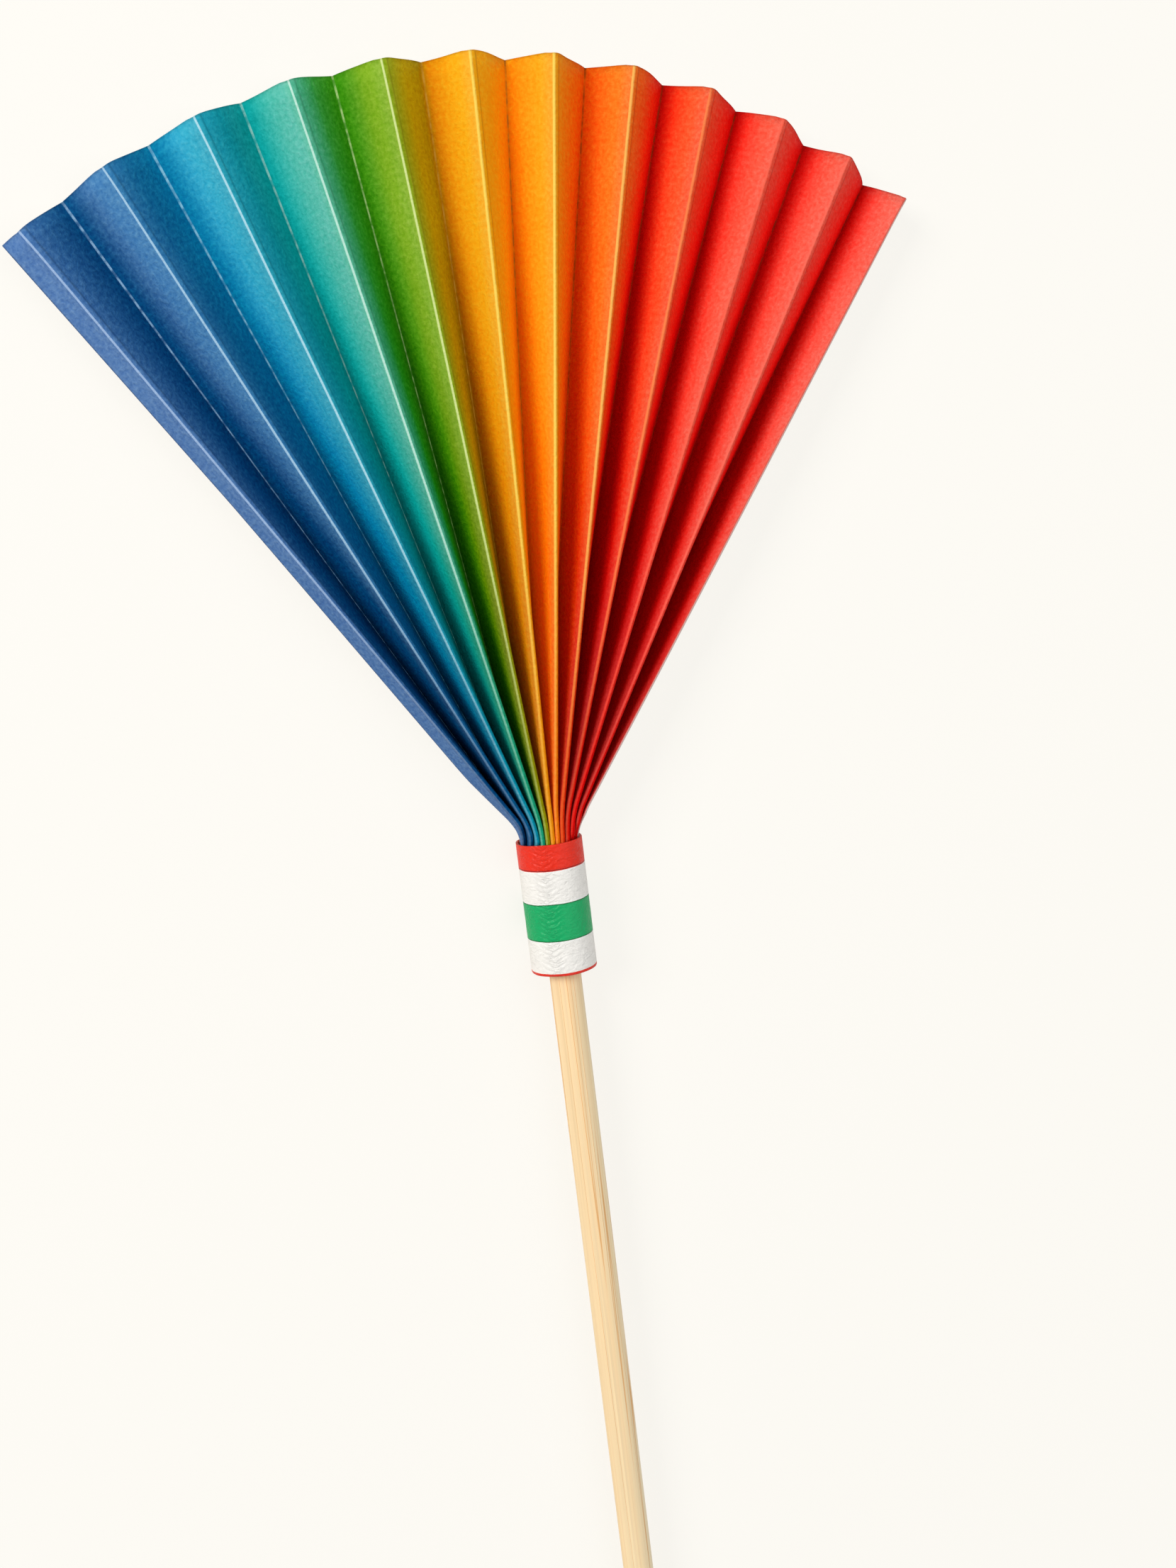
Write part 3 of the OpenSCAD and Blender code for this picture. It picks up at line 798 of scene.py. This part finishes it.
def make_stick():
    """The stick as a turned shape: a radius that depends on the distance from the head, drawn in
    at the head, even along the shank, slightly full along the point and rounded at the tip. The
    radius also wanders by hundredths round the turn, as split fibres leave it, and fan faces
    close both ends."""
    head_r = STICK_R - HEAD_DRAW
    head_rows, shank_rows = 8, 108
    shank_end = STICK_LEN - POINT_LEN
    tip_len = 0.015 * POINT_LEN
    part = np.linspace(0, 1, 36)
    point_r = STICK_R + (TIP_R - STICK_R) * part + POINT_SWELL * 4 * part * (1 - part)
    tip = np.linspace(0, 1.45, 6)[1:]
    below = np.concatenate([
        [0.0, 0.02, 0.1], np.linspace(0.4, HEAD_LEN, head_rows),
        np.linspace(HEAD_LEN, shank_end, shank_rows + 2)[1:-1],
        shank_end + (POINT_LEN - tip_len) * part, STICK_LEN - tip_len + tip_len * np.sin(tip),
    ])[:, None]
    radius = np.concatenate([
        [head_r - 0.12, head_r - 0.05, head_r], np.linspace(head_r, STICK_R, head_rows),
        np.full(shank_rows, STICK_R), point_r, point_r[-1] * np.cos(tip),
    ])[:, None]
    angle = np.linspace(0, 2 * np.pi, 96, endpoint=False)[None, :]
    fibres = (
        0.006 * np.sin(11 * angle + 0.03 * below) + 0.004 * np.sin(23 * angle + 1.7 + 0.05 * below)
        + 0.005 * np.sin(2 * angle + 0.04 * below)
    ) - 0.011
    points = turned(radius * (1 + fibres / STICK_R), below, angle)
    rows, cols = points.shape[:2]
    head = MOUTH - np.array([0.0, POCKET_DEPTH, 0.0])
    ends = np.array([[0.0, 0.0, 0.0], [0.0, -STICK_LEN, 0.0]])
    ring = np.arange(cols)
    top = np.stack([np.full(cols, rows * cols), (ring + 1) % cols, ring], axis=1)
    last = (rows - 1) * cols
    low = np.stack([np.full(cols, rows * cols + 1), last + ring, last + (ring + 1) % cols], axis=1)
    return write_piece("turned_stick", np.concatenate([points.reshape(-1, 3), ends]) + head, [
        grid_faces(rows, cols, closed=True, flip=True), top[:, ::-1], low[:, ::-1],
    ])


def pale_stick_wood():
    """Birch, split and turned, left bare: pale straw wood with long straight fibres, a few amber
    lines of late wood, and a dry, nearly matt surface."""
    material, tree = new_material("bare_birch")
    spot = add(tree, "TexCoord").outputs["Object"]
    # Fibres run along Y and are 200 times longer than they are wide: across them a unit of the
    # noise is a millimetre.
    lines = add(tree, "Mapping", Vector=spot, Scale=(1000.0, 5.0, 1000.0), Location=(0.4, 0.0, 0.2))
    broad = add(tree, "TexNoise", Vector=lines, Scale=0.6, Detail=1.0, Roughness=0.5)
    amber = add(tree, "TexNoise", Vector=lines, Scale=1.3, Detail=1.0, Roughness=0.4)
    thin = add(tree, "TexNoise", Vector=lines, Scale=5.0, Detail=3.0, Roughness=0.65)
    wood = add(tree, "ValToRGB", Fac=broad, stops=[
        (0.30, "#FFDBA8"), (0.48, "#FFE7BC"), (0.62, "#FFF0D0"), (0.75, "#FFDEAE"),
    ])
    # An amber line stands where that noise passes through its middle, so it is long and thin.
    off_line = add(tree, "Math", {"operation": "SUBTRACT"}, in_0=amber, in_1=0.5)
    off_line = add(tree, "Math", {"operation": "ABSOLUTE"}, in_0=off_line)
    streak = add(
        tree, "MapRange", SMOOTH, Value=off_line, From_Min=0.022, From_Max=0.0, To_Max=0.75,
    )
    streaked = add(tree, "Mix", IN_COLOUR, Factor=streak, A=wood.outputs["Color"], B=colour("#E6A050"))
    pores = add(tree, "MapRange", Value=thin, From_Min=0.3, From_Max=0.7, To_Min=0.9, To_Max=1.1)
    grained = add(tree, "Mix", TINTING, Factor=1.0, A=streaked, B=pores)
    cut = add(tree, "Bump", Strength=0.5, Distance=0.04 * MM, Height=thin)
    rough = add(tree, "MapRange", Value=thin, From_Min=0.3, From_Max=0.7, To_Min=0.7, To_Max=0.5)
    surface = add(
        tree, "BsdfPrincipled", Base_Color=grained, Roughness=rough, IOR=1.5, Normal=cut,
        Specular_IOR_Level=0.2,
    )
    add(tree, "OutputMaterial", Surface=surface)
    return material


set_camera()
set_stage()

for piece, material, node, slot in (
    (make_sheet(), printed_paper(), "paper_fan", "rainbow_paper"),
    (make_sleeve(), varnished_strip(), "paper_sleeve", "sleeve_paper"),
    (make_stick(), pale_stick_wood(), "wooden_stick", "pale_wood"),
):
    piece.data.materials.append(material)
    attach(piece, "root")
    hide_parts(node)
